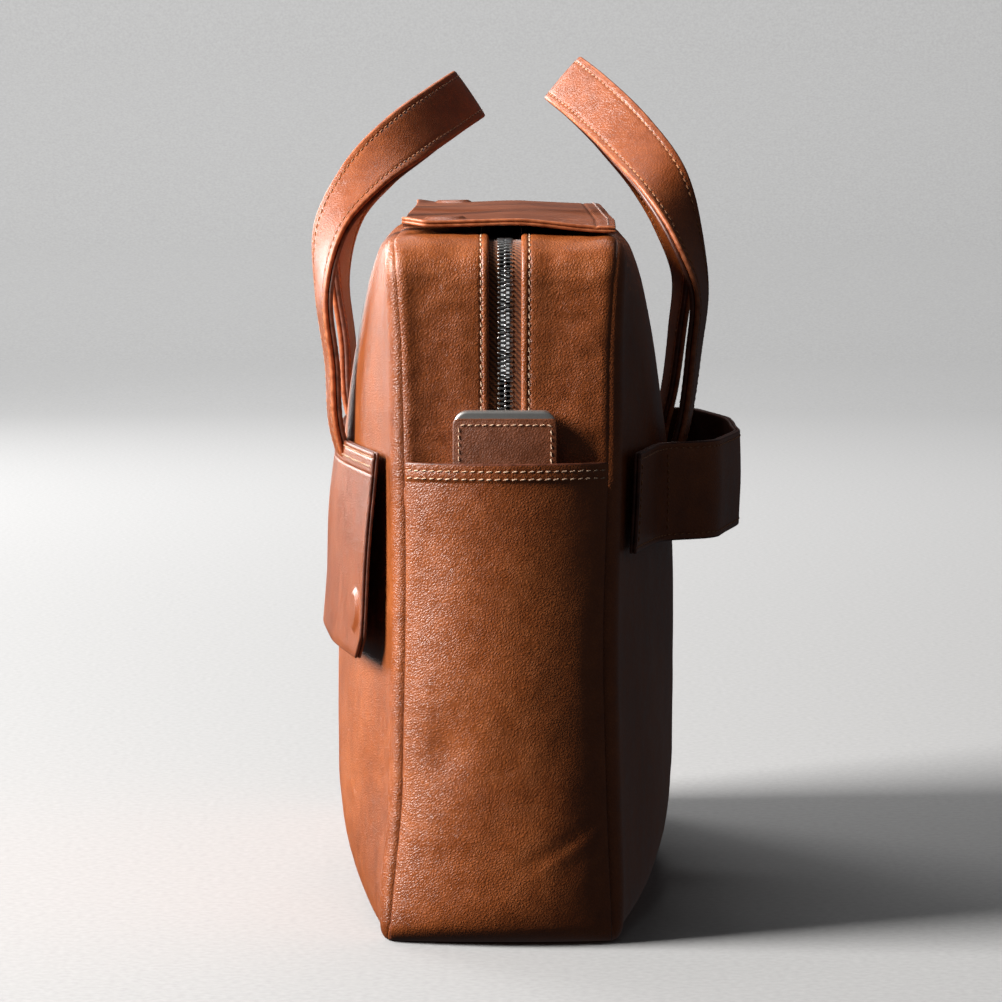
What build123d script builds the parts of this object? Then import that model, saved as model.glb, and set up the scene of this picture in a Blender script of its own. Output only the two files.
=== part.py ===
from build123d import *
import math
import os

# A soft leather briefcase. Millimetres; the origin is on the floor at the middle of the base,
# +Z is up, Y runs along the bag's length (the end pocket faces -Y) and X across it: the front
# panel, with its flap, faces -X and the back panel, with its trolley band, faces +X.

# Body
LENGTH = 400.0
HEIGHT = 300.0
GUSSET_HALF = 44.0  # half the gusset's width: the panels' seams lie on this plane
BULGE = 33.0  # how far the middle of a stuffed panel stands out past its seam plane
CORNER = 18.0  # radius of the panel outline's corners
ROLL = 2.0  # how far a panel's face stands off the seam plane at its two ends
OVERRUN = 0.6  # how far a panel's profiles run on past its outline, which trims them square
SAG_Z = 60.0  # the load sags, so a panel is at its fullest from here ...
SHOULDER_Z = 110.0  # ... up to here
PLAN_RADIUS = ((LENGTH / 2) ** 2 + (BULGE - ROLL) ** 2) / (2 * (BULGE - ROLL))  # seen from above
EASE = 0.05  # the corner arcs run this far past the straight sides, and so meet them in an edge
FLAT = 0.5  # depth taken off the crown by the upright profile, which leaves it a flat
LEATHER = 2.4
GROOVE = 2.5  # the gusset lies this much inside the panels' outline
LOWER_GUSSET_TOP = 192.0  # where the zip strips meet the lower gusset at each end

# Zip
ZIP_GAP = 7.5  # half the gap between the two strips' turned edges
TAPE_REACH = 17.0
TEETH_HALF = 3.3
TEETH_GAP = 0.6  # half the slot between the two rows, which the slider's post runs in
TEETH_DEPTH = (1.5, 3.9)  # below the gusset's outer face
TAPE_DEPTH = (2.5, 3.3)
SLIDER_Z = 209.5
SLIDER_LENGTH = 9.0
PULL_PIVOT_Y = 199.6
PULL_LENGTH = 27.0

# Slit pocket in the front panel, behind the flap
SLIT_HALF = 70.0
SLIT_Z = (176.0, 184.0)
WELT_BORDER = (6.0, 5.0)  # the welt's width past the slit's ends and past its long sides
WELT_RISE = 0.6

# Flaps, band and handles
FLAP_Y = 182.0  # half length of both flaps and of the band
PLY = 1.4  # one ply of a doubled strap or flap
PLY_GAP = 0.2  # glue line between the two plies
FLAP_CHAMFER = 9.0
MAGNET_R = 7.5
MAGNET_THICK = 1.2
BOSS_R = 9.0
BOSS_RISE = 1.2
TOP_FLAP_X = (-43.4, 46.4)
TOP_FLAP_Z = 300.2
TOP_HINGE_X = 36.7
TOP_MAGNET = (-25.5, 163.0)
FRONT_FLAP_Z = (118.0, 206.0)
FRONT_HINGE_Z = 196.3
FRONT_FLAP_TILT = 2.2  # degrees: the free lower edge stands off the panel
FRONT_FLAP_X = 77.4  # inner face at the middle of the flap's top edge
FRONT_FLAP_SAG = 21.5  # how much the flap curves back at its two ends
FRONT_MAGNET = (168.0, 138.0)
KEEPER_TURN = 14.6  # the panel faces this far round towards the bag's end behind the magnets
BAND_Z = (163.0, 206.0)
STRAP_WIDTH = 25.0
STRAP_PLY = 1.7
STRAP_GAP = 1.2  # cement and edge filler between a strap's two plies

# End pocket and the slim case it holds
POCKET_TOP = 203.0
POCKET_DEPTH = 10.6
CASE_SIZE = (43.0, 7.2, 105.0)
CASE_TOP = 225.0
CASE_CORNER = 6.0
CASE_LEATHER = 0.9
CASE_GAP = 0.35  # between the case's back and the gusset

os.makedirs("parts", exist_ok=True)


def save(name, *solids):
    """Write one piece, or one group of identical pieces, as a node."""
    export_step(solids[0] if len(solids) == 1 else Compound(children=list(solids)), f"parts/{name}.step")


def mirrored(solid, plane=Plane.YZ):
    return mirror(solid, about=plane)


def brick(x, y, z):
    """A box given by its (low, high) pair on each axis."""
    size = [high - low for low, high in (x, y, z)]
    centre = [(high + low) / 2 for low, high in (x, y, z)]
    return Pos(*centre) * Box(*size)


def offset_face(face, amount):
    return offset(face, amount=amount) if amount else face


def outline(inset, x_from, x_to):
    """The bag's side outline, shrunk by inset and extruded across X."""
    face = RectangleRounded(LENGTH - 2 * inset, HEIGHT - 2 * inset, CORNER - inset)
    return extrude(Plane.YZ.offset(x_from) * Pos(0, HEIGHT / 2) * face, x_to - x_from)


# ---------------------------------------------------------------- panels, boards, linings


def dome(shrink, inset):
    """A stuffed panel's pillow shape on the +X side, shrunk in bulge and in outline."""
    crown = GUSSET_HALF + BULGE - shrink
    end = LENGTH / 2 - inset + OVERRUN
    parallel = GUSSET_HALF + BULGE - PLAN_RADIUS + math.sqrt((PLAN_RADIUS - shrink) ** 2 - end**2)
    rim = max(parallel, GUSSET_HALF + 0.2)
    arc = ThreePointArc((rim, -end), (crown, 0), (rim, end))
    sides = Polyline((rim, end), (GUSSET_HALF, end), (GUSSET_HALF, -end), (rim, -end))
    plan = extrude(make_face(arc + sides), HEIGHT)
    low, high = inset - OVERRUN, HEIGHT - inset + OVERRUN
    reach = BULGE - shrink - FLAT
    stretch = EllipticalCenterArc((0, SHOULDER_Z), reach, high - SHOULDER_Z, 0, arc_size=90)
    sag = EllipticalCenterArc((0, SAG_Z), reach, SAG_Z - low, 270, arc_size=90)
    sides = Polyline(sag @ 0, (0, high)) + Line(sag @ 1, stretch @ 0)
    profile = Plane.XZ * Pos(GUSSET_HALF, 0) * make_face(sag + stretch + sides)
    rise = extrude(profile, LENGTH / 2, both=True)
    along, up = LENGTH / 2 - inset, (inset, HEIGHT - inset)
    square = brick((GUSSET_HALF, crown + 1), (-along, along), up)
    return plan & rise & square & outline(inset - EASE, GUSSET_HALF, crown + 1)


def dome_shell(shrink, inset, thickness):
    return dome(shrink, inset) - dome(shrink + thickness, inset + thickness)


back_panel = dome_shell(0, 0, LEATHER)
slit = brick((-90, -60), (-SLIT_HALF, SLIT_HALF), SLIT_Z)
welt_half = SLIT_HALF + WELT_BORDER[0]
welt_z = (SLIT_Z[0] - WELT_BORDER[1], SLIT_Z[1] + WELT_BORDER[1])
slit_rim = brick((-90, -60), (-welt_half, welt_half), welt_z) - slit
save("back_panel", back_panel)
save("front_panel", mirrored(back_panel) - slit)
save("front_pocket_welt", mirrored(dome(-WELT_RISE, 0) - dome(0, 0)) & slit_rim)
save("front_stiffener", mirrored(dome_shell(9.6, 3.2, 1.5)))
save("back_stiffener", dome_shell(2.8, 3.2, 1.5))
save("front_lining", mirrored(dome_shell(11.5, 5.2, 0.8)))
save("back_lining", dome_shell(4.7, 5.2, 0.8))

# ---------------------------------------------------------------- gusset


def gusset_outline(depth, x_from, x_to):
    """The gusset's outline at a depth below its outer face: inside the panels' outline at the
    ends and along the top, and level with the floor below."""
    width = LENGTH - 2 * (GROOVE + depth)
    height = HEIGHT - GROOVE - 2 * depth
    face = RectangleRounded(width, height, CORNER - depth)
    return extrude(Plane.YZ.offset(x_from) * Pos(0, (HEIGHT - GROOVE) / 2) * face, x_to - x_from)


def gusset_band(depth_from, depth_to, x_from, x_to):
    return gusset_outline(depth_from, x_from, x_to) - gusset_outline(depth_to, x_from, x_to)


EVERYTHING = (-300, 300)
above_join = brick(EVERYTHING, EVERYTHING, (LOWER_GUSSET_TOP, 400))
below_join = brick(EVERYTHING, EVERYTHING, (-1, LOWER_GUSSET_TOP))

zip_strip = gusset_band(0, LEATHER, ZIP_GAP, GUSSET_HALF) & above_join
save("gusset_zip_back", zip_strip)
save("gusset_zip_front", mirrored(zip_strip))
save("gusset_base", gusset_band(0, LEATHER, -GUSSET_HALF, GUSSET_HALF) & below_join)

lining_band = gusset_band(4.8, 5.6, -GUSSET_HALF, GUSSET_HALF)
zip_slot = brick((-ZIP_GAP - 1, ZIP_GAP + 1), EVERYTHING, (LOWER_GUSSET_TOP, 400))
save("gusset_lining", lining_band - zip_slot)
base_half_length = LENGTH / 2 - CORNER - 6
save("base_board", brick((-40.5, 40.5), (-base_half_length, base_half_length), (2.6, 4.6)))

binding = gusset_band(2.7, 4.5, 41.0, 43.8)
save("seam_binding_back", binding)
save("seam_binding_front", mirrored(binding))

# ---------------------------------------------------------------- zip

tape = gusset_band(*TAPE_DEPTH, TEETH_HALF, TAPE_REACH) & above_join
teeth = gusset_band(*TEETH_DEPTH, TEETH_GAP, TEETH_HALF) & above_join
save("zip_tape_back", tape)
save("zip_tape_front", mirrored(tape))
save("zip_teeth_back", teeth)
save("zip_teeth_front", mirrored(teeth))

OUTER_Y = LENGTH / 2 - GROOVE  # the gusset's outer face at either end
stop = brick((-3.2, 3.2), (OUTER_Y - 1.3, OUTER_Y - 0.2), (194, 198))
save("zip_stops", stop, mirrored(stop, Plane.XZ))

slider_z = (SLIDER_Z - SLIDER_LENGTH / 2, SLIDER_Z + SLIDER_LENGTH / 2)
top_plate = brick((-4.6, 4.6), (OUTER_Y - 1.2, OUTER_Y), slider_z)
bottom_plate = brick((-4.6, 4.6), (OUTER_Y - 5.4, OUTER_Y - 4.2), slider_z)
post = brick((-0.3, 0.3), (OUTER_Y - 4.4, OUTER_Y - 1.0), (SLIDER_Z + 1.5, SLIDER_Z + 3.5))
lug_y = (OUTER_Y - 0.5, PULL_PIVOT_Y + 1.2)
lug = brick((2.3, 3.3), lug_y, (SLIDER_Z - 1.5, SLIDER_Z + 1.5))
pivot = Pos(0, PULL_PIVOT_Y, SLIDER_Z) * Rot(0, 90, 0)
slider = top_plate + bottom_plate + post + lug + mirrored(lug) + pivot * Cylinder(0.6, 5.6)
save("zip_slider", slider)

eye = pivot * Cylinder(1.5, 3.8)
blade = brick((-1.9, 1.9), (PULL_PIVOT_Y - 0.7, PULL_PIVOT_Y + 0.7), (SLIDER_Z - 5.0, SLIDER_Z))
tab_plane = Plane.XZ.offset(-PULL_PIVOT_Y - 0.7)
tab = tab_plane * Pos(0, SLIDER_Z - 4.0 - PULL_LENGTH / 2) * RectangleRounded(8.0, PULL_LENGTH, 3.0)
pull = eye + blade + extrude(tab, 1.4)
save("zip_pull", pull - pivot * Cylinder(0.95, 10))

# ---------------------------------------------------------------- top flap

plies = ((TOP_FLAP_Z, TOP_FLAP_Z + PLY), (TOP_FLAP_Z + PLY + PLY_GAP, TOP_FLAP_Z + 2 * PLY + PLY_GAP))
top_flap_top = plies[1][1]


def top_flap_ply(z):
    """One ply of the flap that crosses the zip, with its two free corners cut off."""
    sheet = brick((TOP_FLAP_X[0], TOP_HINGE_X), (-FLAP_Y, FLAP_Y), z)
    free_corners = sheet.edges().filter_by(Axis.Z).group_by(Axis.X)[0]
    return chamfer(free_corners, FLAP_CHAMFER)


def at_top_magnets(z_low, radius, height):
    disc = Pos(TOP_MAGNET[0], TOP_MAGNET[1], z_low + height / 2) * Cylinder(radius, height)
    return disc, mirrored(disc, Plane.XZ)


outer_low = plies[1][0]
boss_near, boss_far = at_top_magnets(top_flap_top - 0.1, BOSS_R, BOSS_RISE + 0.1)
recess_near, recess_far = at_top_magnets(outer_low - 0.1, MAGNET_R + 0.2, MAGNET_THICK + 0.2)
save("top_flap_lining", top_flap_ply(plies[0]))
save("top_flap_outer", top_flap_ply(plies[1]) + boss_near + boss_far - recess_near - recess_far)
save("top_flap_magnets", *at_top_magnets(outer_low, MAGNET_R, MAGNET_THICK))
save("top_flap_keepers", *at_top_magnets(HEIGHT - GROOVE - LEATHER - 1.1, MAGNET_R, 1.0))

gusset_top = HEIGHT - GROOVE
seat_x = (TOP_HINGE_X + 0.3, GUSSET_HALF - 0.2)
seat = brick(seat_x, (-FLAP_Y + 3, FLAP_Y - 3), (gusset_top, TOP_FLAP_Z + 0.1))
sewn_edge = brick((TOP_HINGE_X + 0.3, TOP_FLAP_X[1]), (-FLAP_Y, FLAP_Y), (TOP_FLAP_Z, top_flap_top))
save("top_flap_sewn_edge", seat + sewn_edge)

# ---------------------------------------------------------------- front flap


def curved_sheet(x_from, x_to):
    """An upright sheet on the -X side, curved back at its ends, between two offsets from the
    inner face, and tilted so that its lower edge stands off the panel."""
    half = FLAP_Y
    inner = ThreePointArc((-x_from + FRONT_FLAP_SAG, -half), (-x_from, 0), (-x_from + FRONT_FLAP_SAG, half))
    outer = ThreePointArc((-x_to + FRONT_FLAP_SAG, -half), (-x_to, 0), (-x_to + FRONT_FLAP_SAG, half))
    ends = Line(inner @ 0, outer @ 0) + Line(inner @ 1, outer @ 1)
    low, high = FRONT_FLAP_Z
    sheet = Pos(0, 0, low - high) * extrude(make_face(inner + outer + ends), high - low)
    return Pos(0, 0, high) * Rot(0, FRONT_FLAP_TILT, 0) * sheet


def cut_corners(solid):
    """Take the two lower corners off a sheet that hangs in the YZ plane."""
    low = FRONT_FLAP_Z[0]
    below, past = low - 9, FLAP_Y + 1
    points = ((past, below), (past, low + FLAP_CHAMFER), (past - FLAP_CHAMFER - 2, below))
    triangle = Polyline(*points, close=True)
    corner = Plane.YZ.offset(-100) * make_face(triangle)
    wedge = extrude(corner, 100)
    return solid - wedge - mirrored(wedge, Plane.XZ)


hanging = brick(EVERYTHING, EVERYTHING, (0, FRONT_HINGE_Z - 0.6))
ply_offsets = ((0, PLY), (PLY + PLY_GAP, 2 * PLY + PLY_GAP))
flap_x = [[FRONT_FLAP_X + offset for offset in pair] for pair in ply_offsets]
flap_radius = (FLAP_Y**2 + FRONT_FLAP_SAG**2) / (2 * FRONT_FLAP_SAG)


def front_magnet_seat(x_face, height):
    """Where a disc of this height sits on the flap's face at an offset, square to its curve."""
    turn = math.degrees(math.asin(FRONT_MAGNET[0] / flap_radius))
    middle_x = -x_face + flap_radius
    low, high = FRONT_FLAP_Z
    tilt = Pos(0, 0, high) * Rot(0, FRONT_FLAP_TILT, 0)
    axis = tilt * Pos(middle_x, 0, FRONT_MAGNET[1] - high) * Rot(0, 0, turn)
    return axis * Pos(-flap_radius - height / 2, 0, 0) * Rot(0, 90, 0)


def disc_pair(seat, radius, height):
    disc = seat * Cylinder(radius, height)
    return disc, mirrored(disc, Plane.XZ)


front_outer = cut_corners(curved_sheet(*flap_x[1]) & hanging)
front_lining = cut_corners(curved_sheet(*flap_x[0]) & hanging)
save("front_flap_lining", front_lining)
boss_height = PLY + BOSS_RISE
bosses = disc_pair(front_magnet_seat(flap_x[1][0] + 0.1, boss_height), BOSS_R, boss_height)
recess_height = MAGNET_THICK + 0.4
recesses = disc_pair(front_magnet_seat(flap_x[1][0] - 0.2, recess_height), MAGNET_R + 0.2, recess_height)
save("front_flap_outer", front_outer + bosses[0] + bosses[1] - recesses[0] - recesses[1])
magnet_seat = front_magnet_seat(flap_x[1][0] + 0.1, MAGNET_THICK)
save("front_flap_magnets", *disc_pair(magnet_seat, MAGNET_R, MAGNET_THICK))
keeper_seat = Pos(-51.6, FRONT_MAGNET[0], FRONT_MAGNET[1]) * Rot(0, 0, -KEEPER_TURN) * Rot(0, 90, 0)
save("front_flap_keepers", *disc_pair(keeper_seat, MAGNET_R, 0.8))

sewn_top = curved_sheet(FRONT_FLAP_X - 30, flap_x[1][1]) & brick(EVERYTHING, EVERYTHING, (FRONT_HINGE_Z, 206))
sewn_top -= mirrored(dome(0, 0) + brick((0, GUSSET_HALF), EVERYTHING, (0, 300)))
save("front_flap_sewn_edge", sewn_top)

# ---------------------------------------------------------------- trolley band


band_points = [(50.7, 192), (68.0, 116), (92.0, 107), (105.5, 42)]
band_route = FilletPolyline(
    *band_points, *[(x, -y) for x, y in band_points[::-1]], radius=[7, 9, 60, 60, 9, 7]
)
band_back = Polyline(band_route @ 1, (20, -192), (20, 192), band_route @ 0)
band_space = make_face(band_route + band_back)


def band_ply(offset):
    """One ply of the band: sewn along the back panel at both ends, standing out as a loop
    between, so that a suitcase's handle passes through it."""
    inner = offset_face(band_space, offset)
    outer = offset_face(band_space, offset + PLY)
    low, high = BAND_Z
    strip = Pos(0, 0, low) * extrude(outer - inner, high - low)
    return strip & brick((51, 200), (-FLAP_Y, FLAP_Y), BAND_Z)


save("trolley_band_lining", band_ply(0))
save("trolley_band_outer", band_ply(PLY + PLY_GAP))

# ---------------------------------------------------------------- handles

# Half of each handle, from the foot of one leg to the top of the arch: the strap's centre and
# the direction across its width, towards the edge that is furthest from the other leg at the
# foot and lowest at the top. The strap twists through a quarter turn on the way.
FRONT_HALF = [
    ((-73.6, -97, 209.8), (0.13, -0.99, 0)),
    ((-75.5, -99, 238), (0.13, -0.99, 0)),
    ((-79.0, -99, 270), (0.20, -0.98, 0)),
    ((-75.5, -93, 298), (0.50, -0.85, -0.12)),
    ((-62.3, -80, 319), (0.65, -0.65, -0.40)),
    ((-44.2, -58, 336.5), (0.74, -0.20, -0.66)),
    ((-28.0, -30, 348.5), (0.60, 0.0, -0.80)),
    ((-17.7, 0, 355.5), (0.565, 0, -0.825)),
]
BACK_HALF = [
    ((73.6, -97, 192.0), (-0.13, -0.99, 0)),
    ((78.8, -98, 216), (-0.13, -0.99, 0)),
    ((82.5, -99, 245), (-0.16, -0.98, 0)),
    ((84.6, -98, 269), (-0.22, -0.97, 0)),
    ((79.0, -93, 293), (-0.48, -0.87, -0.10)),
    ((69.9, -83, 316), (-0.68, -0.60, -0.42)),
    ((54.3, -58, 337.5), (-0.76, -0.20, -0.62)),
    ((38.5, -30, 353.5), (-0.67, 0.0, -0.74)),
    ((27.5, 0, 362.6), (-0.653, 0, -0.757)),
]


def strap_ply(half, side, offset):
    """One ply of a handle, lofted through sections square to the strap's centre line."""
    far = [((x, -y, z), (wx, -wy, wz)) for (x, y, z), (wx, wy, wz) in half[-2::-1]]
    stations = half + far
    centre = Spline(*[point for point, _ in stations], tangents=[(0, 0, 1), (0, 0, -1)])
    sections = []
    for point, across in stations:
        along = centre.tangent_at(Vector(*point))
        width = Vector(*across) - along * along.dot(Vector(*across))
        outward = (width.cross(along) * -side).normalized()
        plane = Plane(origin=Vector(*point) + outward * offset, x_dir=width, z_dir=along)
        sections.append(plane * Rectangle(STRAP_WIDTH, STRAP_PLY))
    return loft(sections)


ply_middle = STRAP_PLY / 2 + STRAP_GAP / 2
for name, half, side in (("handle_front", FRONT_HALF, -1), ("handle_back", BACK_HALF, 1)):
    save(f"{name}_outer", strap_ply(half, side, ply_middle))
    save(f"{name}_lining", strap_ply(half, side, -ply_middle))

# Each back leg is sewn down to the panel through a patch below its hinge line.
patch = brick((60, 76.0), (82, 112), (165, 189)) - dome(0, 0)
save("handle_back_feet", patch, mirrored(patch, Plane.XZ))

# ---------------------------------------------------------------- end pocket and its case


def pocket_plan(inset):
    """The pocket seen from above: a flat face eased back to the gusset's two edges."""
    front = -OUTER_Y - POCKET_DEPTH + inset
    wide = GUSSET_HALF - inset
    return make_face(
        Polyline(
            (-wide, -OUTER_Y),
            (-wide, -OUTER_Y - 1.5),
            (-wide + 15, front),
            (wide - 15, front),
            (wide, -OUTER_Y - 1.5),
            (wide, -OUTER_Y),
            close=True,
        )
    )


pocket = extrude(pocket_plan(0), POCKET_TOP)
pocket_space = Pos(0, 0, LEATHER) * extrude(pocket_plan(LEATHER), POCKET_TOP)
save("end_pocket", pocket - pocket_space - gusset_outline(0, -GUSSET_HALF, GUSSET_HALF))

case_width, case_depth, case_height = CASE_SIZE


def case_slice(width, height, depth_from, depth_to):
    """A rounded plate of the case, between two depths measured out from the gusset."""
    face = Plane.XZ.offset(OUTER_Y + CASE_GAP + depth_from) * Pos(0, CASE_TOP - case_height / 2)
    return extrude(face * RectangleRounded(width, height, CASE_CORNER), depth_to - depth_from)


leather_w, leather_h = case_width - 1.6, case_height - 7.0
save("pocket_case_body", case_slice(case_width, case_height, CASE_LEATHER, case_depth - CASE_LEATHER))
save("pocket_case_leather_inner", case_slice(leather_w, leather_h, 0, CASE_LEATHER))
save("pocket_case_leather_outer", case_slice(leather_w, leather_h, case_depth - CASE_LEATHER, case_depth))
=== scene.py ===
import math

import bmesh
import bpy
import numpy as np
from mathutils import Euler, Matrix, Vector, noise


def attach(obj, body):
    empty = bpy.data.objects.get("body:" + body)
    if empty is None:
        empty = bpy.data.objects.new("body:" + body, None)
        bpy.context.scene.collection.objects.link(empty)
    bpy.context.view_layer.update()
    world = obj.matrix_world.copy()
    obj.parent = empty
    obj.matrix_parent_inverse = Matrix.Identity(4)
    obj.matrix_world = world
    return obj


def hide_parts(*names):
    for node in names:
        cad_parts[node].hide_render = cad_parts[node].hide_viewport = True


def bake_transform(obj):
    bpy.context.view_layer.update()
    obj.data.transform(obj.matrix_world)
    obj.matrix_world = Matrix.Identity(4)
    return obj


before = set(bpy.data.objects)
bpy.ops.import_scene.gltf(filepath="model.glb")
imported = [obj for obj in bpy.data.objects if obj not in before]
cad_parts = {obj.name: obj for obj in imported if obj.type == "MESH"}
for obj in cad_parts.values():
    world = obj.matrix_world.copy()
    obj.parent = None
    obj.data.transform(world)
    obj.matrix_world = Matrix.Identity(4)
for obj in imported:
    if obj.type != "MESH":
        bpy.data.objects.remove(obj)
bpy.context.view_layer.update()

# Lengths are millimetres up to add_mesh, which turns them into metres. The frame is the CAD
# model's: +Z up, the end pocket facing -Y, the front panel facing -X.
MM = 0.001
LENGTH, HEIGHT = 400.0, 300.0
CORNER, CORNER_LOW = 18.0, 9.0  # radii of the panels' upper and lower corners
GUSSET_HALF = 44.0
OUTER_Y, GUSSET_TOP = 197.5, 297.5  # the gusset's outer face at the ends and on top
RIM_ROLL, RIM_WIDTH = 5.0, 7.0  # the roll at a panel's edge
CROWN = 28.0  # how far a stuffed panel stands out beyond its rim
STITCH = 3.5  # pitch of the stitches
SMOOTH_ANGLE = 50.0  # degrees: a sharper fold is shaded as an edge


# ---------------------------------------------------------------- materials


def new_material(name, **values):
    material = bpy.data.materials.new(name)
    material.use_nodes = True
    shader = material.node_tree.nodes["Principled BSDF"]
    for key, value in values.items():
        shader.inputs[key.replace("_", " ")].default_value = value
    return material, material.node_tree, shader


def rgb(r, g, b):
    """An sRGB colour in 0-255 as linear RGBA."""
    def linear(c):
        c /= 255
        return c / 12.92 if c <= 0.04045 else ((c + 0.055) / 1.055) ** 2.4
    return linear(r), linear(g), linear(b), 1.0


def feed(tree, socket, value):
    """Link a socket to another node's output, or set its value."""
    if isinstance(value, bpy.types.NodeSocket):
        tree.links.new(value, socket)
    else:
        socket.default_value = value


def add_node(tree, kind, inputs=None, **settings):
    node = tree.nodes.new(kind)
    for key, value in settings.items():
        setattr(node, key, value)
    for key, value in (inputs or {}).items():
        feed(tree, node.inputs[key], value)
    return node


def texture(tree, kind, where, scale, **more):
    inputs = {"Vector": where, "Scale": scale}
    settings = {}
    for key, value in more.items():
        (settings if key.islower() else inputs)[key] = value
    return add_node(tree, kind, inputs, **settings)


def ramp(tree, factor, stops):
    node = add_node(tree, "ShaderNodeValToRGB", {"Fac": factor})
    elements = node.color_ramp.elements
    while len(elements) < len(stops):
        elements.new(0.5)
    for element, (place, colour) in zip(elements, stops):
        element.position, element.color = place, colour
    return node.outputs["Color"]


def grey(value):
    return (value, value, value, 1.0)


def multiply_colour(tree, amount, base, shade):
    node = add_node(tree, "ShaderNodeMix", {"Factor": amount}, data_type="RGBA", blend_type="MULTIPLY")
    feed(tree, node.inputs[6], base)
    feed(tree, node.inputs[7], shade)
    return node.outputs[2]


def combine(tree, operation, a, b):
    node = add_node(tree, "ShaderNodeMath", operation=operation)
    feed(tree, node.inputs[0], a)
    feed(tree, node.inputs[1], b)
    return node.outputs[0]


def weighted_sum(tree, *terms):
    """The sum of (output, weight) terms."""
    total = None
    for output, weight in terms:
        term = combine(tree, "MULTIPLY", output, weight)
        total = term if total is None else combine(tree, "ADD", total, term)
    return total


def roughen(tree, shader, strength, distance, height):
    bump = add_node(tree, "ShaderNodeBump", {"Strength": strength, "Distance": distance, "Height": height})
    tree.links.new(bump.outputs[0], shader.inputs["Normal"])


def noise_of(tree, where, scale, **more):
    return texture(tree, "ShaderNodeTexNoise", where, scale, **more).outputs["Fac"]


GRAIN_WARP = 0.0022  # how far noise pulls the leather's cells out of true
CREASE_TURN, CREASE_STRETCH = 0.96, 1.35  # the creases' lean in radians, and how much longer they are


def leather(name, light, middle, dark, rough=(0.38, 0.56), grain=1.0, coat=0.18):
    """Full-grain leather: a bump of pebbled cells, pores and creases that run aslant, with slow
    clouds of colour, a little pull-up mottling, painted shade in the grooves and uneven gloss."""
    material, tree, shader = new_material(name, Coat_Weight=coat, Coat_Roughness=0.32)
    where = add_node(tree, "ShaderNodeTexCoord").outputs["Object"]
    warp = texture(tree, "ShaderNodeTexNoise", where, 220.0, Detail=3.0).outputs["Color"]
    bent = add_node(tree, "ShaderNodeMixRGB", {"Fac": GRAIN_WARP, "Color1": where, "Color2": warp}).outputs[0]
    slant = add_node(tree, "ShaderNodeMapping", {"Vector": bent, "Rotation": (0.0, CREASE_TURN, 0.0),
                                                 "Scale": (1.0, 1.0, CREASE_STRETCH)},
                     vector_type="TEXTURE").outputs[0]
    cells = texture(tree, "ShaderNodeTexVoronoi", slant, 950.0,
                    feature="DISTANCE_TO_EDGE").outputs["Distance"]
    pores = texture(tree, "ShaderNodeTexVoronoi", bent, 1900.0).outputs["Distance"]
    creases = noise_of(tree, slant, 420.0, Detail=5.0, Roughness=0.62, Distortion=0.5)
    clouds = noise_of(tree, where, 11.0, Detail=6.0, Roughness=0.6)
    mottle = noise_of(tree, where, 130.0, Detail=5.0, Roughness=0.65)
    veins = noise_of(tree, where, 34.0, Detail=8.0, Roughness=0.7, Distortion=1.4)
    tone = weighted_sum(tree, (clouds, 0.6), (mottle, 0.4))
    base = ramp(tree, tone, [(0.30, dark), (0.50, middle), (0.70, light)])
    # Painted shade: the colour darkens along the grooves between the pebbles, where the bump already shades.
    groove_shade = ramp(tree, cells, [(0.0, grey(0.62)), (0.22, grey(1.0))])
    base = multiply_colour(tree, 0.5, base, groove_shade)
    marks = ramp(tree, veins, [(0.25, grey(0.78)), (0.5, grey(1.0))])
    base = multiply_colour(tree, 0.4, base, marks)
    tree.links.new(base, shader.inputs["Base Color"])
    gloss = add_node(tree, "ShaderNodeMapRange", {"Value": mottle, "From Min": 0.3, "From Max": 0.7,
                                                  "To Min": rough[0], "To Max": rough[1]})
    tree.links.new(gloss.outputs[0], shader.inputs["Roughness"])
    pebble = ramp(tree, cells, [(0.0, grey(0.0)), (0.3, grey(0.85)), (0.8, grey(1.0))])
    height = weighted_sum(tree, (pebble, 0.8), (pores, 0.25), (veins, 0.7), (creases, 0.9))
    roughen(tree, shader, 0.42 * grain, 0.0005, height)
    return material


def painted_edge(name, light, dark):
    """The cut edge of two plies: burnished, with the layers showing through the paint."""
    material, tree, shader = new_material(name)
    where = add_node(tree, "ShaderNodeTexCoord").outputs["Object"]
    streak = noise_of(tree, where, 260.0, Detail=4.0, Roughness=0.7)
    tree.links.new(ramp(tree, streak, [(0.35, dark), (0.65, light)]), shader.inputs["Base Color"])
    tree.links.new(ramp(tree, streak, [(0.3, grey(0.34)), (0.7, grey(0.5))]), shader.inputs["Roughness"])
    roughen(tree, shader, 0.25, 0.0003, streak)
    return material


def metal(name, light, dark, rough):
    """Plated metal with a cloudy patina that is rougher where it is darker."""
    material, tree, shader = new_material(name, Metallic=1.0)
    where = add_node(tree, "ShaderNodeTexCoord").outputs["Object"]
    patina = noise_of(tree, where, 90.0, Detail=6.0, Roughness=0.65)
    fine = noise_of(tree, where, 1800.0, Detail=2.0)
    tree.links.new(ramp(tree, patina, [(0.35, dark), (0.62, light)]), shader.inputs["Base Color"])
    gloss = ramp(tree, patina, [(0.3, grey(rough + 0.12)), (0.7, grey(rough))])
    tree.links.new(gloss, shader.inputs["Roughness"])
    roughen(tree, shader, 0.12, 0.0001, fine)
    return material


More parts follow.
